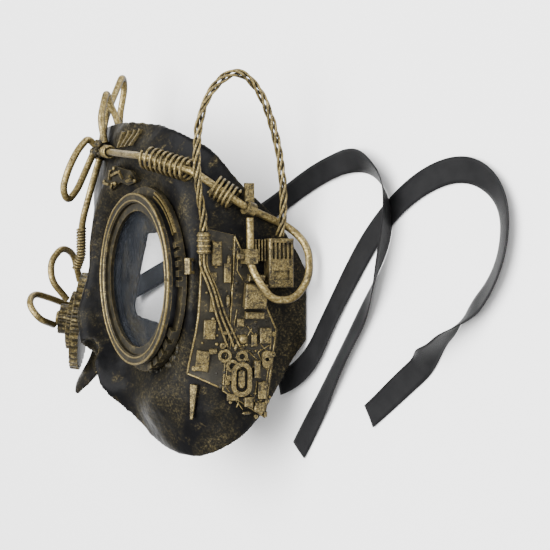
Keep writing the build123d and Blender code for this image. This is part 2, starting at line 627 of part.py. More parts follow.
# ---------------------------------------------------------------- ribbons
def make_tabs():
    """The patches that hold the ribbons' ends to the inside of each temple."""
    for name, y, z, side in (("ribbon_tab_left", -36, 13, 1), ("ribbon_tab_right", -4, 37, -1)):
        dz = (side_x(y, z + 3, side) - side_x(y, z - 3, side)) / 6
        dy = (side_x(y + 3, z, side) - side_x(y - 3, z, side)) / 6
        inward = Vector(-side, dy * side, dz * side).normalized()
        centre = Vector(side_x(y, z, side), y, z) + inward * (SHELL_WALL + 3 * GAP)
        save(name, block(Plane(origin=centre, x_dir=(0, 1, 0), z_dir=inward), TAB_W, TAB_W, TAB_T))


def ribbon(route, shift):
    """A flat band along a route on the table."""
    path = bends([Vector(x + shift.X, y + shift.Y, z) for x, y, z in route])
    heading = path % 0
    across = Vector(-heading.Y, heading.X, 0).normalized()
    start = Plane(origin=path @ 0, x_dir=across, z_dir=heading)
    print("ribbon length", round(path.length, 1))
    return sweep(start * Rectangle(RIBBON_W, RIBBON_T), path=path)


# ---------------------------------------------------------------- write
def lay_down(shapes):
    """Tip the mask on to its temples and put the middle of its footprint at the origin."""
    inner_left = side_x(-10, LEFT_REST_Z) - SHELL_WALL
    share = (RIGHT_REST_Z - BASE_Z) / (CROWN - BASE_Z)
    outer_right = -reach(-1, 0) * (1 - share ** RIGHT_BOXINESS) ** (1 / RIGHT_BOXINESS)
    tilt = math.degrees(math.atan2(RIGHT_REST_Z - LEFT_REST_Z, inner_left - outer_right))
    tipped = {name: Rot(0, -tilt, 0) * shape for name, shape in shapes.items()}
    boxes = [shape.bounding_box() for shape in tipped.values()]
    low = Vector(*(min(getattr(b.min, axis) for b in boxes) for axis in "XYZ"))
    high = Vector(*(max(getattr(b.max, axis) for b in boxes) for axis in "XYZ"))
    shift = Pos(-(low.X + high.X) / 2, -(low.Y + high.Y) / 2, -low.Z)
    print("tilt", round(tilt, 2), "shift", shift.position)
    return {name: shift * shape for name, shape in tipped.items()}, shift.position


def main():
    """Makes every piece, lays the mask down and writes the files."""
    os.makedirs("parts", exist_ok=True)
    make_shell()
    make_goggle()
    make_brow()
    make_braid()
    make_connector()
    make_boards()
    make_board_parts()
    make_forehead_loops()
    make_gears()
    make_tabs()
    placed, shift = lay_down(pieces)
    placed["ribbon_right"] = ribbon(RIBBON_RIGHT, shift)
    placed["ribbon_left"] = ribbon(RIBBON_LEFT, shift)
    for name, shape in placed.items():
        export_step(shape, f"parts/{name}.step")


main()
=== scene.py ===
"""A moulded half mask in black and antique gold, lying face up on a pale table.

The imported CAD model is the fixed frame.  Pieces whose shape is right keep their CAD solid and get a
procedural finish; the shell, springs, braid, wraps and ribbons are rebuilt here as detailed meshes.
Lengths in the dataclasses are millimetres in the face frame (x to the wearer's left, y up the
forehead, z out of the face); FaceFrame turns them into metres in the model's own frame.
"""
from __future__ import annotations

import logging
import math
import random
from dataclasses import dataclass
from enum import Enum
from typing import Callable, Iterable, Sequence

import bmesh
import bpy
import numpy as np
from mathutils import Matrix, Vector, noise


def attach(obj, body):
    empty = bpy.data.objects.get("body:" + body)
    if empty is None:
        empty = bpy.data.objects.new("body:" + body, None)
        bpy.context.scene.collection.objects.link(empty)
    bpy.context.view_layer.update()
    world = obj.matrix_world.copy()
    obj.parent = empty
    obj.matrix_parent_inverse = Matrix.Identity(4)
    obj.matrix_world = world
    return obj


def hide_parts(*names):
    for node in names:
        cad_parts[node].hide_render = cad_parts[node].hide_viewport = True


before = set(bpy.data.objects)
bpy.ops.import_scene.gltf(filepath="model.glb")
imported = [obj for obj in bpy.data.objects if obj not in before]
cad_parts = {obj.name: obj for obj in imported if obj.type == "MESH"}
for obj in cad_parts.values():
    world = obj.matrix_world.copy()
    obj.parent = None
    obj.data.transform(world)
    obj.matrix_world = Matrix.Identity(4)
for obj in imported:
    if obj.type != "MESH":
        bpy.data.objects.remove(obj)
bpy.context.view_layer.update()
LOG = logging.getLogger("half_mask")

Colour = tuple[float, float, float]
Point = Sequence[float]

MM = 0.001
EASE_ANGLE = 35.0
CURVE_ORDER = 3
CURVE_STEPS = 24
# Side the lamps light the mask from; painted light makes the gold heavier and paler on faces turned this
# way.
LAMP_SIDE = (0.62, 0.25, 0.74)


# ---------------------------------------------------------------------------- frames
@dataclass(frozen=True)
class FaceFrame:
    """Where the face frame sits in the model's frame."""

    tilt: float = 11.45
    shift: tuple[float, float, float] = (-8.489, -10.210, -13.394)

    def matrix(self) -> Matrix:
        """Millimetres in the face frame to metres in the model's frame."""
        turn = Matrix.Rotation(math.radians(-self.tilt), 4, "Y")
        return Matrix.Scale(MM, 4) @ Matrix.Translation(self.shift) @ turn

    def point(self, p: Point) -> Vector:
        """One point, in metres."""
        return self.matrix() @ Vector(p)


def ease(t: float) -> float:
    """Smooth step from 0 to 1."""
    t = min(1.0, max(0.0, t))
    return t * t * (3 - 2 * t)


def hill(distance: float, width: float) -> float:
    """A smooth bump of height 1."""
    return math.exp(-((distance / width) ** 2))


def local_frame(at: Vector, out: Vector, along: Vector, spin: float) -> Matrix:
    """Frame at a point: z out, x as near along as it can be, spun in degrees about z."""
    across = (along - out * along.dot(out)).normalized()
    turn = Matrix((across, out.cross(across), out)).transposed().to_4x4()
    return Matrix.Translation(at) @ turn @ Matrix.Rotation(math.radians(spin), 4, "Z")


@dataclass(frozen=True)
class MaskForm:
    """The shell's outer surface as a formula, so that pieces can be laid on it."""

    left_reach: float = 82.0
    right_reach: float = 74.0
    left_boxiness: float = 3.0
    right_boxiness: float = 2.4
    crown: float = 65.0
    base: float = 4.0
    goggle: tuple[float, float, float] = (36.0, 0.0, 53.0)
    goggle_turn: float = 6.0
    goggle_seat: float = 0.9
    flange_r: float = 40.3
    bed_margin: float = 0.7
    bed_run: float = 12.0
    bed_edge: float = 6.0
    widest_y: float = -5.0
    side_fade: float = 2400.0
    crown_y: float = 12.0
    crown_fade: float = 430.0
    nose_x: float = -9.0
    nose_rise: float = 14.0
    nose_half: float = 12.0
    nose_from_y: float = 44.0
    nose_run: float = 74.0
    nose_lean: float = 12.0
    lean_from_y: float = -12.0
    lean_run: float = 35.0
    swells: tuple[tuple[float, ...], ...] = (
        (-42.0, -58.0, 22.0, 18.0, 18.0), (50.0, -52.0, 22.0, 20.0, 5.0), (-32.0, 8.0, 17.0, 20.0, -7.0))

    def reach(self, x: float, y: float) -> float:
        """Half width of the shell at y, on the side of x."""
        side = self.left_reach if x > 0 else self.right_reach
        return side - (y - self.widest_y) ** 2 / self.side_fade

    def skin(self, x: float, y: float) -> float:
        """Outer height of the shell over x, y."""
        half = self.reach(x, y)
        power = self.left_boxiness if x > 0 else self.right_boxiness
        share = min(1.0, abs(x) / half)
        rise = self.crown - (y - self.crown_y) ** 2 / self.crown_fade - self.base
        z = self.base + rise * (1 - share**power) ** (1 / power)
        ridge_x = self.nose_x + self.nose_lean * ease((self.lean_from_y - y) / self.lean_run)
        nose = self.nose_rise * ease((self.nose_from_y - y) / self.nose_run)
        z += nose * hill(x - ridge_x, self.nose_half)
        for mid_x, mid_y, wide, tall, swell in self.swells:
            z += swell * hill(x - mid_x, wide) * hill(y - mid_y, tall)
        gx, gy, gz = self.goggle
        past = math.hypot(x - gx, y - gy) - self.flange_r - self.bed_margin
        bed = 1 - ease(past / self.bed_run)
        if x > 0:
            bed *= ease((half - x) / self.bed_edge)
        return z + (gz - (x - gx) * math.tan(math.radians(self.goggle_turn)) - z) * bed

    def normal(self, x: float, y: float) -> Vector:
        """Outward unit normal on the front."""
        across = self.skin(x + 0.5, y) - self.skin(x - 0.5, y)
        along = self.skin(x, y + 0.5) - self.skin(x, y - 0.5)
        return Vector((-across, -along, 1)).normalized()

    def over(self, x: float, y: float, lift: float = 0.0) -> Vector:
        """Point above the front, lifted along the normal."""
        return Vector((x, y, self.skin(x, y))) + self.normal(x, y) * lift

    def side_x(self, y: float, z: float) -> float:
        """x of the left flank where the skin is at height z."""
        if z <= self.base:
            return self.reach(1, y)
        low, high = self.goggle[0] + self.flange_r / 2, self.reach(1, y) - 1e-6
        for _ in range(40):
            middle = (low + high) / 2
            low, high = (middle, high) if self.skin(middle, y) > z else (low, middle)
        return low

    def flank(self, y: float, z: float, lift: float = 0.0) -> Vector:
        """Point on the left flank, moved out along x."""
        return Vector((self.side_x(y, z) + lift, y, z))

    def flank_spot(self, y: float, z: float, lift: float = 0.0, spin: float = 0.0) -> Matrix:
        """Local frame on the flank: z out, y up the forehead, x to the back."""
        dz = (self.side_x(y, z + 3) - self.side_x(y, z - 3)) / 6
        dy = (self.side_x(y + 3, z) - self.side_x(y - 3, z)) / 6
        out = Vector((1, -dy, -dz)).normalized()
        return local_frame(self.flank(y, z) + out * lift, out, Vector((0, 0, -1)), spin)

    def front_spot(self, x: float, y: float, lift: float = 0.0, spin: float = 0.0) -> Matrix:
        """Local frame on the front: z out, x to the wearer's left."""
        return local_frame(self.over(x, y, lift), self.normal(x, y), Vector((1, 0, 0)), spin)

    def goggle_spot(self) -> Matrix:
        """Local frame of the goggle: its z is the goggle's axis."""
        turn = Matrix.Rotation(math.radians(self.goggle_turn), 4, "Y")
        return Matrix.Translation(self.goggle) @ turn @ Matrix.Translation((0, 0, self.goggle_seat))


FACE = FaceFrame()
FORM = MaskForm()


# ---------------------------------------------------------------------------- mesh helpers
class Mesher:
    """Collects faces in the face frame and turns them into one riding piece."""

    def __init__(self) -> None:
        """Starts empty."""
        self.verts: list[Vector] = []
        self.faces: list[tuple[int, ...]] = []

    def add(self, verts: Iterable[Point], faces: Iterable[Sequence[int]]) -> None:
        """Adds a patch whose faces count from its own first vertex."""
        start = len(self.verts)
        self.verts += [Vector(v) for v in verts]
        self.faces += [tuple(start + k for k in f) for f in faces]

    def bar(self, path: Sequence[Vector], radius: float | Callable[[float], float], sides: int = 10,
            wobble: float = 0.0) -> None:
        """A round bar along close-set points, with closed ends.

        Args:
            path: points in the face frame.
            radius: one radius, or a function of the share of the way along.
            sides: vertices round the bar.
            wobble: how much the radius varies at random, as a share.
        """
        rings = carried_frames(path)
        verts, count = [], len(path)
        for k, (p, u, v) in enumerate(rings):
            r = radius(k / (count - 1)) if callable(radius) else radius
            for s in range(sides):
                a = 2 * math.pi * s / sides
                rr = r * (1 + wobble * noise.noise(p * 0.9 + Vector((s, 0, 0))))
                verts.append(p + (u * math.cos(a) + v * math.sin(a)) * rr)
        faces = []
        for k in range(count - 1):
            for s in range(sides):
                t = (s + 1) % sides
                faces.append((k * sides + s, k * sides + t, (k + 1) * sides + t, (k + 1) * sides + s))
        faces.append(tuple(range(sides))[::-1])
        faces.append(tuple((count - 1) * sides + s for s in range(sides)))
        self.add(verts, faces)

    def block(self, spot: Matrix, size: Point, taper: float = 0.0) -> None:
        """A box standing on a local frame, narrowed at the top by taper."""
        w, h, t = (size[0] / 2, size[1] / 2, size[2])
        low = [(-w, -h, 0), (w, -h, 0), (w, h, 0), (-w, h, 0)]
        k = 1 - taper
        high = [(x * k, y * k, t) for x, y, _ in low]
        faces = [(3, 2, 1, 0), (4, 5, 6, 7), (0, 1, 5, 4), (1, 2, 6, 5), (2, 3, 7, 6), (3, 0, 4, 7)]
        self.add([spot @ Vector(p) for p in low + high], faces)

    def turned(self, spot: Matrix, profile: Sequence[tuple[float, float]], sides: int = 24) -> None:
        """A lathe shape from radius, height pairs, closed along the axis or round a ring."""
        verts, n = [], len(profile)
        for r, z in profile:
            for s in range(sides):
                a = 2 * math.pi * s / sides
                verts.append(spot @ Vector((r * math.cos(a), r * math.sin(a), z)))
        faces = []
        closed = profile[0][0] > 1e-6 and profile[-1] == profile[0]
        for k in range(n - 1):
            nxt = (k + 1) % (n - 1) if closed else k + 1
            for s in range(sides):
                t = (s + 1) % sides
                faces.append((k * sides + s, k * sides + t, nxt * sides + t, nxt * sides + s))
        if closed:
            verts = verts[: (n - 1) * sides]
        else:
            faces.append(tuple(range(sides))[::-1])
            faces.append(tuple((n - 1) * sides + s for s in range(sides)))
        self.add(verts, faces)

    def blob(self, spot: Matrix, size: Point, seed: int, rough: float = 0.25) -> None:
        """A lumpy flattened bead."""
        bm = bmesh.new()
        bmesh.ops.create_icosphere(bm, subdivisions=2, radius=1.0)
        for v in bm.verts:
            grow = 1 + rough * noise.noise(v.co * 1.7 + Vector((seed, seed * 0.37, 0)))
            v.co = Vector((v.co.x * size[0], v.co.y * size[1], v.co.z * size[2])) * grow
        self.add([spot @ v.co for v in bm.verts], [[v.index for v in f.verts] for f in bm.faces])
        bm.free()

    def piece(self, name: str, finish: "Finish", replaces: Sequence[str] = (),
              bevel: float = 0.0) -> bpy.types.Object:
        """Makes the piece, dresses it and lets it ride on the mask.

        Args:
            name: the piece's name.
            finish: what it is painted with.
            replaces: CAD nodes that it stands for.
            bevel: width of eased edges, in millimetres.

        Returns:
            The new object.
        """
        mesh = bpy.data.meshes.new(name)
        world = FACE.matrix()
        mesh.from_pydata([world @ v for v in self.verts], [], self.faces)
        mesh.validate()
        return settle(name, mesh, finish, replaces, bevel)


def settle(name: str, mesh: bpy.types.Mesh, finish: "Finish", replaces: Sequence[str] = (),
           bevel: float = 0.0) -> bpy.types.Object:
    """Links a mesh as a riding piece.

    Args:
        name: the piece's name.
        mesh: its mesh, in metres.
        finish: what it is painted with.
        replaces: CAD nodes that it stands for.
        bevel: width of eased edges, in millimetres.

    Returns:
        The new object.
    """
    obj = bpy.data.objects.new(name, mesh)
    bpy.context.scene.collection.objects.link(obj)
    mesh.shade_smooth()
    if bevel:
        ease_edges(obj, bevel)
    mesh.materials.clear()
    mesh.materials.append(finish.material())
    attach(obj, "root")
    if replaces:
        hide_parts(*replaces)
    LOG.info("%s: %d faces", name, len(mesh.polygons))
    return obj


def ease_edges(obj: bpy.types.Object, width: float) -> None:
    """Adds a small bevel to sharp edges; width is in millimetres."""
    bevel = obj.modifiers.new("eased", "BEVEL")
    bevel.width = width * MM
    bevel.segments = 2
    bevel.limit_method = "ANGLE"
    bevel.angle_limit = math.radians(EASE_ANGLE)
    bevel.harden_normals = True


def carried_frames(path: Sequence[Vector]) -> list[tuple[Vector, Vector, Vector]]:
    """Points with two cross directions each, carried along without twist."""
    heads = [(path[min(k + 1, len(path) - 1)] - path[max(k - 1, 0)]).normalized() for k in range(len(path))]
    u = heads[0].orthogonal().normalized()
    out = []
    for p, t in zip(path, heads):
        u = (u - t * u.dot(t)).normalized()
        out.append((p, u, t.cross(u)))
    return out


def smooth_path(corners: Sequence[Point], step: float) -> list[Vector]:
    """Even points along the NURBS curve that the corners control.

    Args:
        corners: control points, in any unit.
        step: distance between the points returned.

    Returns:
        Points from the first corner to the last.
    """
    curve = bpy.data.curves.new("route", "CURVE")
    curve.dimensions = "3D"
    spline = curve.splines.new("NURBS")
    spline.points.add(len(corners) - 1)
    for target, p in zip(spline.points, corners):
        target.co = (*p, 1.0)
    spline.order_u = CURVE_ORDER
    spline.use_endpoint_u = True
    spline.resolution_u = CURVE_STEPS
    obj = bpy.data.objects.new("route", curve)
    bpy.context.scene.collection.objects.link(obj)
    mesh = bpy.data.meshes.new_from_object(obj)
    dense = [v.co.copy() for v in mesh.vertices]
    bpy.data.objects.remove(obj)
    bpy.data.meshes.remove(mesh)
    bpy.data.curves.remove(curve)
    return evenly(dense, step)


def evenly(path: Sequence[Vector], step: float) -> list[Vector]:
    """Points along a polyline at one spacing, ends included."""
    lengths = [0.0]
    for a, b in zip(path, path[1:]):
        lengths.append(lengths[-1] + (b - a).length)
    count = max(2, int(round(lengths[-1] / step)) + 1)
    out, k = [], 0
    for n in range(count):
        want = lengths[-1] * n / (count - 1)
        while k < len(path) - 2 and lengths[k + 1] < want:
            k += 1
        run = lengths[k + 1] - lengths[k]
        out.append(path[k].lerp(path[k + 1], min(1.0, (want - lengths[k]) / run) if run else 0.0))
    return out


# ---------------------------------------------------------------------------- finishes
class Nodes:
    """A short way to write one material's node tree."""

    def __init__(self, name: str) -> None:
        """Makes an empty material with a Principled shader."""
        self.material = bpy.data.materials.new(name)
        self.material.use_nodes = True
        self.tree = self.material.node_tree
        self.tree.nodes.clear()
        self.out = self.tree.nodes.new("ShaderNodeOutputMaterial")
        self.shader = self.tree.nodes.new("ShaderNodeBsdfPrincipled")
        self.link(self.shader.outputs[0], self.out.inputs["Surface"])
        self.coords = self.add("ShaderNodeTexCoord").outputs["Object"]

    def add(self, kind: str, **values: object) -> bpy.types.Node:
        """Adds a node; keyword values set its properties."""
        node = self.tree.nodes.new(kind)
        for key, value in values.items():
            setattr(node, key, value)
        return node

    def link(self, start: bpy.types.NodeSocket, end: bpy.types.NodeSocket) -> None:
        """Joins two sockets."""
        self.tree.links.new(start, end)

    def put(self, socket: bpy.types.NodeSocket, value: object) -> None:
        """Links a socket or sets a plain value."""
        if isinstance(value, bpy.types.NodeSocket):
            self.link(value, socket)
        else:
            socket.default_value = value

    def noise(self, scale: float, detail: float = 4.0, rough: float = 0.6, warp: float = 0.0,
              stretch: tuple[float, float, float] | None = None) -> bpy.types.NodeSocket:
        """Fractal noise; scale is in repeats per metre."""
        where = self.coords
        if stretch:
            mapping = self.add("ShaderNodeMapping")
            mapping.inputs["Scale"].default_value = stretch
            self.link(where, mapping.inputs["Vector"])
            where = mapping.outputs[0]
        node = self.add("ShaderNodeTexNoise")
        self.link(where, node.inputs["Vector"])
        node.inputs["Scale"].default_value = scale
        node.inputs["Detail"].default_value = detail
        node.inputs["Roughness"].default_value = rough
        node.inputs["Distortion"].default_value = warp
        return node.outputs["Fac"]

    def ramp(self, value: bpy.types.NodeSocket, low: float, high: float, to_low: float = 0.0,
             to_high: float = 1.0) -> bpy.types.NodeSocket:
        """Smooth map of a value from one range to another."""
        node = self.add("ShaderNodeMapRange", interpolation_type="SMOOTHSTEP")
        self.link(value, node.inputs["Value"])
        for key, number in (("From Min", low), ("From Max", high), ("To Min", to_low), ("To Max", to_high)):
            node.inputs[key].default_value = number
        return node.outputs["Result"]

    def math(self, what: str, a: object, b: object) -> bpy.types.NodeSocket:
        """One arithmetic node."""
        node = self.add("ShaderNodeMath", operation=what, use_clamp=True)
        self.put(node.inputs[0], a)
        self.put(node.inputs[1], b)
        return node.outputs[0]

    def mix(self, share: object, a: object, b: object) -> bpy.types.NodeSocket:
        """Mixes two colours; plain colours are three numbers."""
        node = self.add("ShaderNodeMix", data_type="RGBA")
        self.put(node.inputs[0], share)
        for index, value in ((6, a), (7, b)):
            self.put(node.inputs[index], value if isinstance(value, bpy.types.NodeSocket) else (*value, 1.0))
        return node.outputs[2]

    def edges(self, radius: float, low: float = 0.02, high: float = 0.16) -> bpy.types.NodeSocket:
        """1 along sharp edges, 0 on flats; radius is in millimetres."""
        rounded = self.add("ShaderNodeBevel", samples=4)
        rounded.inputs["Radius"].default_value = radius * MM
        flat = self.add("ShaderNodeNewGeometry")
        dot = self.add("ShaderNodeVectorMath", operation="DOT_PRODUCT")
        self.link(rounded.outputs[0], dot.inputs[0])
        self.link(flat.outputs["Normal"], dot.inputs[1])
        gap = self.add("ShaderNodeMath", operation="SUBTRACT")
        gap.inputs[0].default_value = 1.0
        self.link(dot.outputs["Value"], gap.inputs[1])
        return self.ramp(gap.outputs[0], low, high)

    def out_of_shade(self, reach: float, low: float = 0.45, high: float = 0.9) -> bpy.types.NodeSocket:
        """Painted shade: 0 deep in corners and creases, 1 in the open; reach is in millimetres."""
        node = self.add("ShaderNodeAmbientOcclusion", samples=4)
        node.inputs["Distance"].default_value = reach * MM
        return self.ramp(node.outputs["AO"], low, high)

    def facing_lamps(self, low: float = -0.2, high: float = 0.9) -> bpy.types.NodeSocket:
        """Painted light: more where the surface faces the lamps, less where it is turned away."""
        geometry = self.add("ShaderNodeNewGeometry")
        dot = self.add("ShaderNodeVectorMath", operation="DOT_PRODUCT")
        self.link(geometry.outputs["Normal"], dot.inputs[0])
        dot.inputs[1].default_value = LAMP_SIDE
        return self.ramp(dot.outputs["Value"], low, high)

    def bump(self, height: bpy.types.NodeSocket, strength: float, distance: float) -> None:
        """Adds relief; distance is in millimetres."""
        node = self.add("ShaderNodeBump")
        node.inputs["Strength"].default_value = strength
        node.inputs["Distance"].default_value = distance * MM
        self.link(height, node.inputs["Height"])
        self.link(node.outputs[0], self.shader.inputs["Normal"])

    def set(self, **values: object) -> bpy.types.Material:
        """Sets shader inputs, named with _ for a space, and returns the material."""
        for key, value in values.items():
            socket = self.shader.inputs[key.replace("_", " ")]
            if isinstance(value, tuple) and len(value) == 3 and socket.type == "RGBA":
                value = (*value, 1.0)
            self.put(socket, value)
        return self.material


class Finish:
    """Something a piece is painted with; each kind builds its material once."""

    name: str

    def build(self) -> bpy.types.Material:
        """Makes the material."""
        raise NotImplementedError

    def material(self) -> bpy.types.Material:
        """The material, made on first use."""
        made = bpy.data.materials.get(f"{self.name}_finish")
        if made is None:
            made = self.build()
            made.name = f"{self.name}_finish"
        return made


@dataclass(frozen=True)
class Patina(Finish):
    """Dark paint, dry-brushed with antique gold that catches on edges and high spots; painted light puts
    more and paler gold on faces turned toward the lamps, and painted shade keeps corners and creases dark.
    """

    name: str
    dark: Colour = (0.009, 0.0075, 0.004)
    gold: Colour = (0.15, 0.108, 0.036)
    # Colour of the painted highlight on faces turned toward the lamps.
    highlight_gold: Colour = (0.42, 0.335, 0.15)
    cover: float = 0.5
    edge: float = 0.5
    grain: float = 900.0
    shine: float = 0.36
    metal: float = 0.75
    relief: float = 0.12
    # Reach of the painted shade in corners and creases, in millimetres.
    shade_reach: float = 2.0

    def build(self) -> bpy.types.Material:
        """Makes the material."""
        n = Nodes(self.name)
        patches = n.noise(self.grain * 0.28, 5, 0.62, 0.4)
        fine = n.noise(self.grain, 6, 0.7)
        dry_brush_and_lit_side = n.ramp(n.math("ADD", n.math("MULTIPLY", patches, 0.4), n.math("MULTIPLY", fine, 0.6)),
                         0.58 - 0.34 * self.cover, 0.84 - 0.34 * self.cover)
        # Painted light: the dry-brushed gold is made heavier on faces turned toward the lamps.
        dry_brush_and_lit_side = n.math("MULTIPLY", dry_brush_and_lit_side, n.facing_lamps(-0.35, 0.75))
        gold_share = dry_brush_and_lit_side
        if self.edge:
            rim = n.math("MULTIPLY", n.edges(self.edge), n.ramp(fine, 0.38, 0.6, 0.1, 0.95))
            gold_share = n.math("MAXIMUM", dry_brush_and_lit_side, rim)
        # Painted shade: the gold is taken out deep in corners and creases, so they stay dark.
        gold_share = n.math("MULTIPLY", gold_share, n.out_of_shade(self.shade_reach))
        # Painted highlight: paler gold on faces turned toward the lamps.
        glint = n.math("MULTIPLY", n.ramp(n.noise(self.grain * 1.9, 3), 0.4, 0.7), n.facing_lamps(0.1, 0.95))
        gold = n.mix(glint, self.gold, self.highlight_gold)
        dark = n.mix(n.ramp(patches, 0.4, 0.7), self.dark, tuple(c * 2.4 for c in self.dark))
        n.bump(fine, 0.5, self.relief)
        return n.set(Base_Color=n.mix(gold_share, dark, gold),
                     Metallic=n.math("MULTIPLY", gold_share, self.metal),
                     Roughness=n.ramp(gold_share, 0.0, 1.0, 0.5, self.shine), Specular_IOR_Level=0.2)


@dataclass(frozen=True)
class ShellPaint(Finish):
    """Smooth black plastic with olive-gold speckle, scuffs and worn gold edges."""

    name: str = "shell_black"

    def build(self) -> bpy.types.Material:
        """Makes the material."""
        n = Nodes(self.name)
        cloud = n.noise(38, 5, 0.6, 0.6)
        patch = n.noise(150, 6, 0.68, 0.3)
        speck = n.noise(950, 7, 0.8)
        dust = n.math("MULTIPLY", n.ramp(cloud, 0.4, 0.68), n.ramp(speck, 0.44, 0.7))
        scuff = n.math("MULTIPLY", n.ramp(patch, 0.54, 0.74), n.ramp(speck, 0.4, 0.66))
        edge = n.math("MULTIPLY", n.edges(1.1, 0.03, 0.3), n.ramp(patch, 0.3, 0.6))
        gold = n.math("MAXIMUM", n.math("MAXIMUM", n.math("MULTIPLY", dust, 0.24),
                                        n.math("MULTIPLY", scuff, 0.36)), edge)
        base = n.mix(n.ramp(cloud, 0.35, 0.65), (0.0022, 0.0022, 0.0026), (0.006, 0.0056, 0.0044))
        colour = n.mix(gold, base, n.mix(n.ramp(speck, 0.4, 0.7), (0.12, 0.09, 0.035), (0.36, 0.29, 0.13)))
        n.bump(n.math("ADD", n.math("MULTIPLY", patch, 0.6), n.math("MULTIPLY", speck, 0.3)), 0.35, 0.25)
        return n.set(Base_Color=colour, Metallic=n.math("MULTIPLY", gold, 0.5),
                     Roughness=n.ramp(patch, 0.3, 0.7, 0.34, 0.5), Specular_IOR_Level=0.06)


@dataclass(frozen=True)
class ClearLens(Finish):
    """Clear moulded plastic with faint scratches."""

    name: str = "lens_clear"

    def build(self) -> bpy.types.Material:
        """Makes the material."""
        n = Nodes(self.name)
        scratch = n.ramp(n.noise(240, 2, 0.5, 3.0, (1.0, 9.0, 1.0)), 0.6, 0.63)
        haze = n.ramp(n.noise(60, 4), 0.3, 0.8, 0.02, 0.06)
        alpha = n.math("ADD", haze, n.math("MULTIPLY", scratch, 0.12))
        n.bump(n.noise(400, 2), 0.05, 0.1)
        return n.set(Base_Color=(0.1, 0.115, 0.14), Alpha=alpha, Roughness=0.08, Specular_IOR_Level=0.2)


@dataclass(frozen=True)
class Satin(Finish):
    """Black satin ribbon with fine ribs."""

    name: str = "ribbon_satin"

    def build(self) -> bpy.types.Material:
        """Makes the material."""
        n = Nodes(self.name)
        weave = n.add("ShaderNodeTexWave", bands_direction="DIAGONAL")
        n.link(n.coords, weave.inputs["Vector"])
        weave.inputs["Scale"].default_value = 900.0
        weave.inputs["Distortion"].default_value = 1.5
        thread = weave.outputs["Fac"]
        tone = n.mix(n.ramp(n.noise(120, 4), 0.3, 0.7), (0.0025, 0.0025, 0.003), (0.006, 0.006, 0.0065))
        n.bump(thread, 0.25, 0.08)
        return n.set(Base_Color=n.mix(n.math("MULTIPLY", thread, 0.35), tone, (0.009, 0.009, 0.0095)),
                     Roughness=n.ramp(thread, 0.0, 1.0, 0.45, 0.62), Sheen_Weight=0.02,
                     Specular_IOR_Level=0.14)


@dataclass(frozen=True)
class PaleFloor(Finish):
    """Plain pale table top."""

    name: str = "floor_pale"

    def build(self) -> bpy.types.Material:
        """Makes the material."""
        n = Nodes(self.name)
        tone = n.mix(n.ramp(n.noise(9, 3), 0.3, 0.7), (0.955, 0.955, 0.955), (0.965, 0.965, 0.965))
        return n.set(Base_Color=tone, Roughness=0.9, Specular_IOR_Level=0.1)


class Palette(Enum):
    """Every finish on the mask."""

    SHELL = ShellPaint()
    TUBE = Patina("tube_gold", cover=0.8, edge=0.0, grain=620, shine=0.36)
    WIRE = Patina("wire_gold", cover=0.7, edge=0.0, grain=900, shine=0.4)
    BEZEL = Patina("bezel_bronze", cover=0.16, edge=0.5, grain=640)
    FLANGE = Patina("flange_bronze", cover=0.14, edge=0.4, grain=640)
    BARREL = Patina("barrel_black", dark=(0.004, 0.004, 0.0045), cover=-0.1, edge=0.0, shine=0.25, metal=0.3)
    GEAR = Patina("gear_bronze", cover=0.42, edge=0.25, grain=640)
    BOARD = Patina("board_dark", cover=0.08, edge=0.3, grain=760)
    BOARD_GOLD = Patina("board_gold", cover=0.2, edge=0.3, grain=900)
    PART = Patina("part_bronze", cover=0.56, edge=0.3, grain=1100)
    TRACK = Patina("track_gold", cover=0.8, edge=0.0, grain=1000)
    BRIGHT = Patina("part_bright", cover=0.85, edge=0.0, grain=900, shine=0.34)
    LENS = ClearLens()
    RIBBON = Satin()
    FLOOR = PaleFloor()


# ---------------------------------------------------------------------------- camera, floor and light
@dataclass
class Studio:
    """The table, the soft light and the camera."""

    camera_at: tuple[float, float, float] = (592.6, 3.0, 367.4)
    aim_at: tuple[float, float, float] = (61.8, -8.2, 10.0)
    lens: float = 98.18
    sensor: float = 36.0

    def build(self) -> None:
        """Makes the floor, lights and camera."""
        self.floor()
        self.lights()
        self.camera()

    def floor(self) -> None:
        """A wide pale plane at the table's height."""
        mesh = bpy.data.meshes.new("floor")
        half = 6.0
        mesh.from_pydata([(-half, -half, 0), (half, -half, 0), (half, half, 0), (-half, half, 0)], [],
                         [(0, 1, 2, 3)])
        obj = bpy.data.objects.new("floor", mesh)
        mesh.materials.append(Palette.FLOOR.value.material())
        bpy.context.scene.collection.objects.link(obj)

    def area(self, name: str, at: Point, size: float, power: float) -> None:
        """A square soft light aimed at the mask."""
        data = bpy.data.lights.new(name, "AREA")
        data.size = size
        data.energy = power
        obj = bpy.data.objects.new(name, data)
        obj.location = at
        obj.rotation_euler = (Vector(at) - Vector((0, 0, 0.03))).to_track_quat("Z", "Y").to_euler()
        bpy.context.scene.collection.objects.link(obj)

    def lights(self) -> None:
        """Even white surroundings and two soft boxes."""
        world = bpy.data.worlds.new("soft")
        bpy.context.scene.world = world
        world.use_nodes = True
        background = world.node_tree.nodes["Background"]
        background.inputs[0].default_value = (1.0, 1.0, 1.0, 1.0)
        background.inputs[1].default_value = 0.9
        self.area("overhead", (0.15, 0.35, 1.7), 2.0, 125.0)
        self.area("front", (1.1, 0.35, 0.75), 0.4, 6.0)

    def camera(self) -> None:
        """A long lens from the goggle's side, with the forehead up in the frame."""
        at, aim = Vector(self.camera_at) * MM, Vector(self.aim_at) * MM
        back = (at - aim).normalized()
        right = Vector((0, 1, 0)).cross(back).normalized()
        up = back.cross(right)
        data = bpy.data.cameras.new("camera")
        data.lens = self.lens
        data.sensor_width = self.sensor
        data.clip_start = 0.01
        obj = bpy.data.objects.new("camera", data)
        obj.matrix_world = Matrix.Translation(at) @ Matrix((right, up, back)).transposed().to_4x4()
        bpy.context.scene.collection.objects.link(obj)
        bpy.context.scene.camera = obj


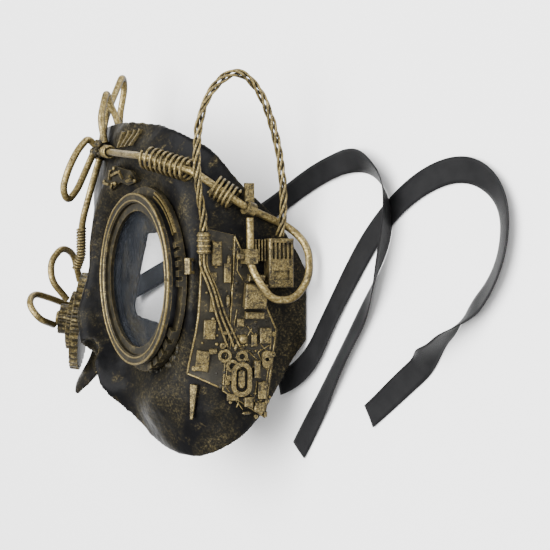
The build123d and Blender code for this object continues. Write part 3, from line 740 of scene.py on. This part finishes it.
# ---------------------------------------------------------------------------- ribbons
@dataclass
class Ribbon:
    """One flat satin tie: its route on the table and how it turns over along the way."""

    name: str
    node: str
    corners: Sequence[Point]
    rolls: Sequence[tuple[float, float]]
    length: float
    width: float = 10.0
    thick: float = 0.35
    floor_gap: float = 0.25
    step: float = 1.5
    across: int = 6
    waver: float = 0.05
    waver_rate: float = 31.0
    cup: float = 0.25
    cup_rate: float = 18.0

    def roll_at(self, share: float) -> float:
        """Roll in radians at a share of the way along."""
        for (a, ra), (b, rb) in zip(self.rolls, self.rolls[1:]):
            if a <= share <= b:
                return math.radians(ra + (rb - ra) * ease((share - a) / (b - a)))
        return math.radians(self.rolls[-1][1])

    def build(self) -> bpy.types.Object:
        shift = Vector((FACE.shift[0], FACE.shift[1], 0))
        route = [(Vector(p) + shift) * MM for p in self.corners]
        path = smooth_path(route, self.step * MM)
        verts, faces, centres = [], [], []
        half, slim = self.width * MM / 2, self.thick * MM / 2
        for k, p in enumerate(path):
            share = k / (len(path) - 1)
            head = (path[min(k + 1, len(path) - 1)] - path[max(k - 1, 0)]).normalized()
            flat = Vector((-head.y, head.x, 0)).normalized()
            up = head.cross(flat)
            if up.z < 0:
                up = up * -1
            roll = self.roll_at(share) + self.waver * math.sin(share * self.waver_rate)
            wide = flat * math.cos(roll) + up * math.sin(roll)
            thin = wide.cross(head)
            low = half * abs(math.sin(roll)) + slim + self.floor_gap * MM
            centre = Vector((p.x, p.y, max(p.z, low)))
            centres.append(centre)
            for side in (1, -1):
                for j in range(self.across + 1):
                    t = (j / self.across * 2 - 1) * side
                    cup = self.cup * MM * (1 - t * t) * math.sin(share * self.cup_rate)
                    verts.append(centre + wide * half * t + thin * (slim * side + cup))
        loop = 2 * (self.across + 1)
        for k in range(len(path) - 1):
            for j in range(loop):
                n = (j + 1) % loop
                faces.append((k * loop + j, k * loop + n, (k + 1) * loop + n, (k + 1) * loop + j))
        faces.append(tuple(range(loop))[::-1])
        faces.append(tuple((len(path) - 1) * loop + j for j in range(loop)))
        mesh = bpy.data.meshes.new(self.name)
        mesh.from_pydata(verts, [], faces)
        obj = settle(self.name, mesh, Palette.RIBBON.value, (self.node,))
        return obj


RIBBON_RIGHT = Ribbon(
    "satin_tie_right", "ribbon_right",
    [(-66, -7, 3.8), (-44, 1, 1.6), (5, 15, 0.9), (50, 29, 0.9), (89, 45, 1.2), (121, 51, 2.4),
     (141, 37, 2.8), (140, 11, 2.4), (112, -26, 0.9), (75, -73, 0.9)],
    [(0.0, 0.0), (0.5, 0.0), (0.6, 40.0), (0.68, 62.0), (0.8, 20.0), (1.0, 0.0)], 0.345)
RIBBON_LEFT = Ribbon(
    "satin_tie_left", "ribbon_left",
    [(66, -45, 5.2), (82, -40, 2.6), (100, -12, 1.2), (136, 30, 0.9), (178, 46, 0.9), (206, 33, 0.9),
     (204, 5, 0.9), (181, -16, 0.9), (152, -36, 0.9), (124, -54, 0.9)],
    [(0.0, 0.0), (0.45, 0.0), (0.62, 25.0), (0.72, 30.0), (0.8, 90.0), (0.88, 165.0), (1.0, 180.0)], 0.3)


# ---------------------------------------------------------------------------- shell
@dataclass
class Shell:
    """The moulded shell: remeshed from the CAD shell, eased and given a hand-finished surface."""

    voxel: float = 0.9
    passes: int = 10
    ripple: float = 0.16
    ripple_scale: float = 160.0

    def build(self) -> bpy.types.Object:
        """Makes the shell piece."""
        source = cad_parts["face_shell"]
        mesh = source.data.copy()
        raw = bpy.data.objects.new("shell_raw", mesh)
        bpy.context.scene.collection.objects.link(raw)
        remesh = raw.modifiers.new("even", "REMESH")
        remesh.mode = "VOXEL"
        remesh.voxel_size = self.voxel * MM
        smooth = raw.modifiers.new("ease", "SMOOTH")
        smooth.factor = 0.5
        smooth.iterations = self.passes
        bpy.context.view_layer.update()
        done = bpy.data.meshes.new_from_object(raw.evaluated_get(bpy.context.evaluated_depsgraph_get()))
        bpy.data.objects.remove(raw)
        self.hand_finish(done)
        done.name = "mask_shell"
        return settle("mask_shell", done, Palette.SHELL.value, ("face_shell",))

    def hand_finish(self, mesh: bpy.types.Mesh) -> None:
        """Gives the surface the slight unevenness of thick paint."""
        count = len(mesh.vertices)
        where = np.zeros(count * 3)
        mesh.vertices.foreach_get("co", where)
        where = where.reshape(-1, 3)
        normals = np.zeros(count * 3, np.float32)
        mesh.vertex_normals.foreach_get("vector", normals)
        normals = normals.reshape(-1, 3)
        lift = np.array([noise.fractal(Vector(p) * self.ripple_scale, 0.6, 2.0, 3) for p in where])
        where += normals * (lift * self.ripple * MM)[:, None]
        mesh.vertices.foreach_set("co", where.ravel())
        mesh.update()


# ---------------------------------------------------------------------------- goggle
@dataclass
class Goggle:
    """The goggle's added detail: a hand-rolled rim bead and glue beads under the flange."""

    bezel_r: float = 37.1
    bezel_top: float = 7.0
    bead: float = 0.55
    inner_r: float = 34.2
    inner_bead: float = 0.4
    waver: float = 0.35
    glue_lumps: int = 46

    def build(self) -> None:
        """Makes the rim beads and the glue."""
        self.rim()
        self.glue()

    def rim(self) -> None:
        """Thin uneven beads round the bezel's edges."""
        spot = FORM.goggle_spot()
        m = Mesher()
        for r, bead in ((self.bezel_r, self.bead), (self.inner_r, self.inner_bead)):
            path = []
            for k in range(181):
                a = 2 * math.pi * k / 180
                wave = self.waver * noise.noise(Vector((math.cos(a) * 2.2, math.sin(a) * 2.2, r)))
                z = self.bezel_top + wave * 0.5
                path.append(spot @ Vector(((r + wave) * math.cos(a), (r + wave) * math.sin(a), z)))
            m.bar(path, bead, 8, 0.25)
        m.piece("goggle_rim_beads", Palette.BRIGHT.value)

    def glue(self) -> None:
        """Rough lumps of painted glue along the flange's lower edge."""
        spot = FORM.goggle_spot()
        rng = random.Random(7)
        m = Mesher()
        for k in range(self.glue_lumps):
            angle = math.radians(rng.uniform(-128, -42))
            r = FORM.flange_r + rng.uniform(-0.6, 2.6)
            foot = spot @ Vector((r * math.cos(angle), r * math.sin(angle), 0))
            z = FORM.skin(foot.x, foot.y)
            place = Matrix.Translation((foot.x, foot.y, z)) @ Matrix.Rotation(angle, 4, "Z")
            m.blob(place, (rng.uniform(0.7, 1.9), rng.uniform(0.7, 1.6), rng.uniform(0.5, 1.1)), k, 0.5)
        m.piece("flange_glue_beads", Palette.FLANGE.value)


# ---------------------------------------------------------------------------- springs, wraps and braid
@dataclass
class BrowTubing:
    """The coil springs on the brow tube and the wire wrap at its knot."""

    spring_r: float = 5.2
    wire_r: float = 0.62
    tube_r: float = 1.6
    spring_clear: float = 1.4
    corner_stand: float = 2.4
    wrap_turns: int = 6
    wrap_from: float = 1.5
    wrap_run: float = 7.6

    def route(self) -> list[Vector]:
        """The brow tube's first corners, as in the CAD model."""
        lift = self.spring_r + self.spring_clear
        high = lift + self.corner_stand
        return [FORM.over(2, 57, 3.2), FORM.over(35, 53.5, 4.8), FORM.over(54, 51, high),
                FORM.flank(45, 47, high), FORM.flank(41, 41.5, lift), FORM.flank(31, 28.5, lift)]

    def build(self) -> None:
        """Makes both springs and the wrap."""
        route = self.route()
        self.spring("coil_spring_inner", "brow_spring_inner", route[2], route[3], (0.06, 0.96), 9.0, 3)
        self.spring("coil_spring_outer", "brow_spring_outer", route[4], route[5], (0.1, 0.8), 5.5, 5)
        self.wrap(route)

    def spring(self, name: str, node: str, start: Vector, stop: Vector, share: tuple[float, float],
               turns: float, seed: int) -> None:
        """A hand-wound helix along one straight run."""
        a, b = start.lerp(stop, share[0]), start.lerp(stop, share[1])
        head = (b - a).normalized()
        u = head.orthogonal().normalized()
        v = head.cross(u)
        radius = self.spring_r - self.wire_r
        path, steps = [], int(turns * 40)
        for k in range(steps + 1):
            t = k / steps
            angle = 2 * math.pi * turns * t
            uneven = 0.25 * noise.noise(Vector((t * 9, seed, 0)))
            along = self.wire_r + t * ((b - a).length - 2 * self.wire_r) + uneven
            r = radius * (1 - 0.04 * abs(noise.noise(Vector((seed, t * 7, 0)))))
            path.append(a + head * along + (u * math.cos(angle) + v * math.sin(angle)) * r)
        m = Mesher()
        m.bar(path, self.wire_r, 10, 0.06)
        m.piece(name, Palette.WIRE.value, (node,))

    def wrap(self, route: Sequence[Vector]) -> None:
        """Wire wound round the knot at the middle of the forehead."""
        head = (route[1] - route[0]).normalized()
        u = head.orthogonal().normalized()
        v = head.cross(u)
        m = Mesher()
        path = []
        for k in range(241):
            t = k / 240
            angle = 2 * math.pi * self.wrap_turns * t
            r = self.tube_r + 0.75 + 0.3 * noise.noise(Vector((t * 5, 2, 0)))
            along = self.wrap_from + self.wrap_run * t
            path.append(route[0] + head * along + (u * math.cos(angle) + v * math.sin(angle)) * r)
        m.bar(path, self.wire_r, 8, 0.1)
        m.piece("knot_wire_wrap", Palette.WIRE.value, ("knot_wrap",))


@dataclass
class BraidedLoop:
    """Four wires twisted into a rope that rises over the temple."""

    strands: int = 4
    strand_r: float = 0.58
    lay_r: float = 1.35
    pitch: float = 24.0
    step: float = 0.6

    def route(self) -> list[Vector]:
        """Corners, as in the CAD model."""
        out = FORM.left_reach
        stand = 0.3 + 1.5 + 0.15
        start = FORM.flank(15.5, 44.5, stand + 2.5 + 0.6) + Vector((0, 4.5, 0))
        end = FORM.flank(7.2, 12.0, 6.5 - 2.1) + Vector((0, 20.5 / 2 + 0.9, 0))
        middle = [(6, 38, 49), (7, 52, 50), (8.5, 68, 49), (10.5, 81, 43), (12, 86.5, 33), (11.5, 77, 23),
                  (9.5, 62, 16.5), (8.5, 46, 13), (8.4, 31, 12)]
        return [start, start + Vector((0, 6, 0)), *(Vector((out + x, y, z)) for x, y, z in middle),
                end + Vector((2.6, 7, 0)), end]

    def build(self) -> None:
        """Makes the strands as one piece."""
        path = smooth_path(self.route(), self.step)
        rings = carried_frames(path)
        m = Mesher()
        for s in range(self.strands):
            strand = []
            for k, (p, u, v) in enumerate(rings):
                stray = 0.09 * noise.noise(Vector((k * 0.03, s * 7.7, 5)))
                angle = 2 * math.pi * (k * self.step / self.pitch + s / self.strands + stray)
                loose = 0.86 + 0.34 * noise.noise(Vector((k * 0.05, s * 3.1, 0)))
                strand.append(p + (u * math.cos(angle) + v * math.sin(angle)) * self.lay_r * loose)
            m.bar(strand, self.strand_r, 8, 0.08)
        m.piece("braided_wire_loop", Palette.WIRE.value, ("braided_loop",))


# ---------------------------------------------------------------------------- small detail
@dataclass
class TempleDetail:
    """Traces, pads, small parts and paint lumps on the two boards of the temple."""

    stand_off: float = 1.95
    trace_r: float = 0.28
    sink: float = 0.3
    seed: int = 11

    def build(self) -> None:
        """Makes every group."""
        self.traces()
        self.pads()
        self.parts()
        self.lumps()
        self.crimps()

    def along(self, corners: Sequence[tuple[float, float]], lift: float, step: float = 0.8) -> list[Vector]:
        """Points on the flank along y, z corners, at one lift."""
        flat = evenly([Vector((y, z, 0)) for y, z in corners], step)
        return [FORM.flank_spot(p.x, p.y, lift) @ Vector((0, 0, 0)) for p in flat]

    def traces(self) -> None:
        """Raised tracks across the gold board."""
        m = Mesher()
        tracks = (
            [(14, 29), (4, 29.4), (0, 26.8)], [(-20, 30), (-27, 31), (-30, 24), (-38, 15.8)],
            [(-19, 25), (-26, 19.8), (-33, 13.8)], [(-22, 14.5), (-40, 16.3), (-55, 18.4)],
            [(-24, 31.4), (-44, 33), (-54, 26)], [(-42, 20.6), (-49, 21.6), (-55, 21.4)],
            [(-20, 23), (-28, 27.6), (-34, 24)], [(-47, 26.5), (-53, 28.5)], [(-12, 29.4), (-19, 30.6)],
            [(-27, 15.2), (-30, 20.4), (-37, 17.6)], [(-49.5, 32), (-46, 28.4)],
        )
        for corners in tracks:
            m.bar(self.along(corners, self.stand_off - 0.1), self.trace_r, 6, 0.2)
        edge = [(18.4, 30.2), (-20.8, 12.6), (-57.2, 17.4), (-46, 33.8), (18.4, 30.2)]
        for a, b in zip(edge, edge[1:]):
            m.bar(self.along([a, b], self.stand_off - 0.25), 0.4, 6, 0.35)
        dark_edges = ([(21.4, 43.4), (-38.8, 46.2)], [(-38.8, 46.2), (-44.4, 35.4)])
        for corners in dark_edges:
            m.bar(self.along(corners, self.stand_off - 0.25), 0.45, 6, 0.35)
        m.piece("board_tracks", Palette.TRACK.value)

    def pads(self) -> None:
        """Round pads and rivet heads."""
        rng = random.Random(self.seed)
        m = Mesher()
        spots = [(rng.uniform(-54, -22), rng.uniform(15, 31)) for _ in range(46)]
        spots += [(rng.uniform(-36, 18), rng.uniform(36, 43)) for _ in range(16)]
        for y, z in spots:
            r = rng.uniform(0.35, 0.85)
            place = FORM.flank_spot(y, z, self.stand_off - self.sink)
            m.turned(place, [(r, 0), (r, 0.45), (r * 0.6, 0.75), (0.05, 0.8)], 12)
        for y, z in ((-42.5, 32), (-55, 18.8), (-22.6, 13.8), (16, 41.5), (-36.5, 44)):
            place = FORM.flank_spot(y, z, self.stand_off - self.sink)
            m.turned(place, [(1.25, 0), (1.25, 0.5), (0.9, 0.95), (0.05, 1.0)], 18)
            m.block(place @ Matrix.Rotation(0.7, 4, "Z"), (2.1, 0.35, 1.1))
        m.piece("board_pads", Palette.TRACK.value, bevel=0.06)

    def parts(self) -> None:
        """Small resistors, cans and blocks, with their leads."""
        m = Mesher()
        for y, z, spin, length, r in (
            (-36.5, 28.6, 20, 4.2, 0.9), (-27.5, 29.4, 75, 3.4, 0.8), (-55.4, 24.6, 5, 3.6, 0.7),
            (-50.6, 16.8, 80, 3.2, 0.7), (-29.6, 25.4, 10, 3.4, 0.7), (-21.5, 33.2, 0, 5.0, 0.9),
            (8.5, 33.0, 85, 4.4, 0.8), (-8.5, 33.4, 88, 5.0, 0.9),
        ):
            place = FORM.flank_spot(y, z, self.stand_off + r * 0.7, spin)
            ends = [place @ Vector((t * length / 2, 0, 0)) for t in (-1, -0.72, 0, 0.72, 1)]
            m.bar(evenly(ends, 0.35), lambda t, r=r: r * (1.0 if 0.12 < t < 0.88 else 0.45), 10, 0.05)
        for y, z, r, tall in ((-43.5, 17.8, 1.5, 2.2), (-31.0, 14.4, 1.3, 1.8), (-57.0, 20.8, 0.9, 1.2),
                              (-26.8, 34.6, 1.4, 1.6)):
            place = FORM.flank_spot(y, z, self.stand_off - self.sink)
            low = tall * 0.8
            m.turned(place, [(r, 0), (r, low), (r * 0.8, tall), (r * 0.3, tall), (0.05, low)], 20)
        for y, z, w, h, t, spin in ((-29, 38.2, 3.6, 2.2, 1.2, 8), (-10, 38.8, 4.0, 6.5, 1.0, -4),
                                    (1.5, 39.6, 3.2, 4.0, 1.4, 0), (-40.5, 31.4, 2.4, 2.6, 1.6, 14),
                                    (-56.2, 16.9, 1.4, 2.4, 1.0, 0), (12.0, 37.6, 3.0, 2.2, 1.2, 0)):
            m.block(FORM.flank_spot(y, z, self.stand_off - self.sink, spin), (w, h, t), taper=0.12)
        m.piece("board_small_parts", Palette.PART.value, bevel=0.1)

    def lumps(self) -> None:
        """Lumps of paint and glue that bed the parts."""
        rng = random.Random(self.seed + 1)
        m = Mesher()
        for k in range(90):
            y, z = rng.uniform(-52, 18), rng.uniform(16, 43)
            if z > 34 - y * 0.02 and rng.random() < 0.4:
                continue
            if y > -20 and z < 13.5 + (y + 21) * 0.45:
                continue
            place = FORM.flank_spot(y, z, self.stand_off - 0.35, rng.uniform(0, 360))
            m.blob(place, (rng.uniform(0.4, 1.3), rng.uniform(0.4, 1.0), rng.uniform(0.3, 0.7)), k, 0.6)
        for y, z in ((-31, 33.5), (-35.5, 30.5), (-31.5, 27)):
            for k in range(7):
                a = k * 0.9
                place = FORM.flank_spot(y + 2.2 * math.cos(a), z + 2.0 * math.sin(a), self.stand_off + 0.9)
                m.blob(place, (0.7, 0.6, 0.55), k, 0.5)
        m.piece("board_lumps", Palette.BOARD_GOLD.value)

    def crimps(self) -> None:
        """Crimp bands round the ferrule."""
        m = Mesher()
        lift = self.stand_off + 2.5 + 0.6
        foot = FORM.flank(15.5, 44.5, lift)
        turn = Matrix.Rotation(math.radians(-90), 4, "X")
        for dy in (-3.4, -1.2, 1.0, 3.2):
            place = Matrix.Translation(foot + Vector((0, dy, 0))) @ turn
            m.turned(place, [(2.4, -0.5), (2.85, -0.4), (2.95, 0), (2.85, 0.4), (2.4, 0.5)], 28)
        m.piece("ferrule_crimps", Palette.BRIGHT.value)


@dataclass
class ForeheadDetail:
    """The knot's solder, the badge's plain relief and the ribbed end of the tube beside the nose."""

    tube_r: float = 1.6

    def build(self) -> None:
        """Makes every group."""
        self.solder()
        self.badge()
        self.ribs()

    def solder(self) -> None:
        """Lumps of painted glue where the loops meet the tube."""
        rng = random.Random(5)
        m = Mesher()
        ends = [FORM.over(2, 57, 3.0), FORM.over(-4, 60.0, 2.4), FORM.over(-9, 60.5, 2.2),
                Vector((-4.2, 57.0, 66.4)), Vector((-2.0, 57.8, 64.8)), Vector((0.0, 60.0, 66.6)),
                FORM.over(-8.5, 55.0, 2.4)]
        for k, foot in enumerate(ends * 3):
            near = foot + Vector([rng.uniform(-1.0, 1.0) for _ in range(3)])
            size = [rng.uniform(1.5, 2.5) for _ in range(3)]
            m.blob(Matrix.Translation(near), size, k, 0.5)
        m.piece("knot_solder", Palette.GEAR.value)

    def badge(self) -> None:
        """Raised bars and bosses on the badge, in no particular pattern."""
        m = Mesher()
        for x, y, spin, length in ((7.6, 43.0, -12, 5.4), (12.4, 46.4, 62, 5.2), (16.6, 47.2, 8, 6.6),
                                   (24.6, 44.8, -4, 6.0), (21.4, 47.0, 78, 4.6), (27.2, 45.6, 84, 3.4),
                                   (11.0, 42.6, 38, 4.0)):
            m.block(FORM.front_spot(x, y, 1.7, spin), (length, 1.3, 1.0), taper=0.15)
        for x, y in ((5.6, 43.4), (28.4, 44.4), (17.2, 49.0), (13.6, 43.4)):
            m.turned(FORM.front_spot(x, y, 1.7), [(1.0, 0), (1.0, 0.6), (0.6, 1.0), (0.05, 1.05)], 14)
        m.piece("badge_relief", Palette.PART.value, bevel=0.12)

    def ribs(self) -> None:
        """A close coil over the lower end of the tube beside the nose."""
        ends = [FORM.over(-17, 24, 5.4), Vector((-26, 10, 67)), Vector((-30.5, 4, 68))]
        path = evenly(ends, 0.25)
        rings = carried_frames(path)
        coil = []
        for k, (p, u, v) in enumerate(rings):
            a = 2 * math.pi * k * 0.25 / 1.5
            coil.append(p + (u * math.cos(a) + v * math.sin(a)) * (self.tube_r + 0.25))
        m = Mesher()
        m.bar(coil[6:], 0.6, 7, 0.08)
        m.piece("nose_tube_coil", Palette.WIRE.value)


@dataclass
class GearDetail:
    """Raised rims, short bars and rivets on the faces of the cheek gears."""

    foot: tuple[float, float] = (-38.0, -22.0)
    lift: float = 5.0
    turn: float = -22.0
    pitch: float = -7.0

    def place(self) -> Matrix:
        """The stack's local frame."""
        turn = Matrix.Rotation(math.radians(self.turn), 4, "Y")
        nod = Matrix.Rotation(math.radians(self.pitch), 4, "X")
        return Matrix.Translation(FORM.over(*self.foot, self.lift)) @ (turn @ nod)

    def build(self) -> None:
        """Makes the rims, bars and rivets."""
        spot = self.place()
        m = Mesher()
        for r, z in ((19.6, 4.0), (16.4, 4.0), (11.4, 7.25), (8.6, 7.25)):
            low, high, outer = z - 0.2, z + 0.45, r + 0.9
            m.turned(spot, [(r, low), (r, high), (outer, high), (outer, low), (r, low)], 72)
        for k in range(8):
            turned = spot @ Matrix.Rotation(math.radians(45 * k), 4, "Z")
            m.block(turned @ Matrix.Translation((18.4, 0, 3.8)), (2.0, 1.2, 0.6))
        for k in range(12):
            turned = spot @ Matrix.Rotation(math.radians(30 * k + 9), 4, "Z")
            m.turned(turned @ Matrix.Translation((10.5, 0, 7.1)), [(0.7, 0), (0.6, 0.5), (0.05, 0.6)], 10)
        m.piece("gear_face_detail", Palette.PART.value, bevel=0.1)


# ---------------------------------------------------------------------------- CAD nodes that stay
@dataclass
class KeptParts:
    """Finishes and eased edges for the CAD solids that stay as they are."""

    groups: tuple[tuple[Palette, float, tuple[str, ...]], ...] = (
        (Palette.FLANGE, 0.3, ("goggle_flange",)),
        (Palette.BARREL, 0.2, ("goggle_barrel",)),
        (Palette.BEZEL, 0.4, ("goggle_bezel",)),
        (Palette.BEZEL, 0.25, ("lens_retaining_ring",)),
        (Palette.LENS, 0.0, ("goggle_lens",)),
        (Palette.BRIGHT, 0.15, ("goggle_ridge_strips",)),
        (Palette.BRIGHT, 0.2, ("gear_spindle",)),
        (Palette.TUBE, 0.0, ("brow_tube", "forehead_loop_front", "forehead_loop_mid", "forehead_loop_back",
                             "nose_side_tube", "cheek_loop_upper", "cheek_loop_lower")),
        (Palette.GEAR, 0.2, ("cheek_gear_large", "gear_seat")),
        (Palette.GEAR, 0.15, ("cheek_gear_middle", "cheek_gear_small")),
        (Palette.BOARD, 0.2, ("board_dark",)),
        (Palette.BOARD_GOLD, 0.2, ("board_gold",)),
        (Palette.BOARD, 0.25, ("forehead_badge",)),
        (Palette.WIRE, 0.0, ("signal_wires",)),
        (Palette.RIBBON, 0.2, ("ribbon_tab_left", "ribbon_tab_right")),
    )
    other: tuple[Palette, float] = (Palette.PART, 0.25)

    def build(self) -> None:
        """Dresses every CAD node that still shows."""
        chosen = {name: (finish, bevel) for finish, bevel, names in self.groups for name in names}
        for name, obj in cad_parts.items():
            if obj.hide_render:
                continue
            finish, bevel = chosen.get(name, self.other)
            obj.data.materials.clear()
            obj.data.materials.append(finish.value.material())
            if bevel:
                ease_edges(obj, bevel)
            LOG.info("%s keeps its solid, finished as %s", name, finish.name.lower())


def main() -> None:
    """Builds the stage, the ties and every sub-assembly."""
    logging.basicConfig(level=logging.INFO, format="%(name)s %(message)s")
    Studio().build()
    RIBBON_RIGHT.build()
    RIBBON_LEFT.build()
    Shell().build()
    Goggle().build()
    BrowTubing().build()
    BraidedLoop().build()
    TempleDetail().build()
    ForeheadDetail().build()
    GearDetail().build()
    KeptParts().build()


if __name__ == "__main__":
    main()
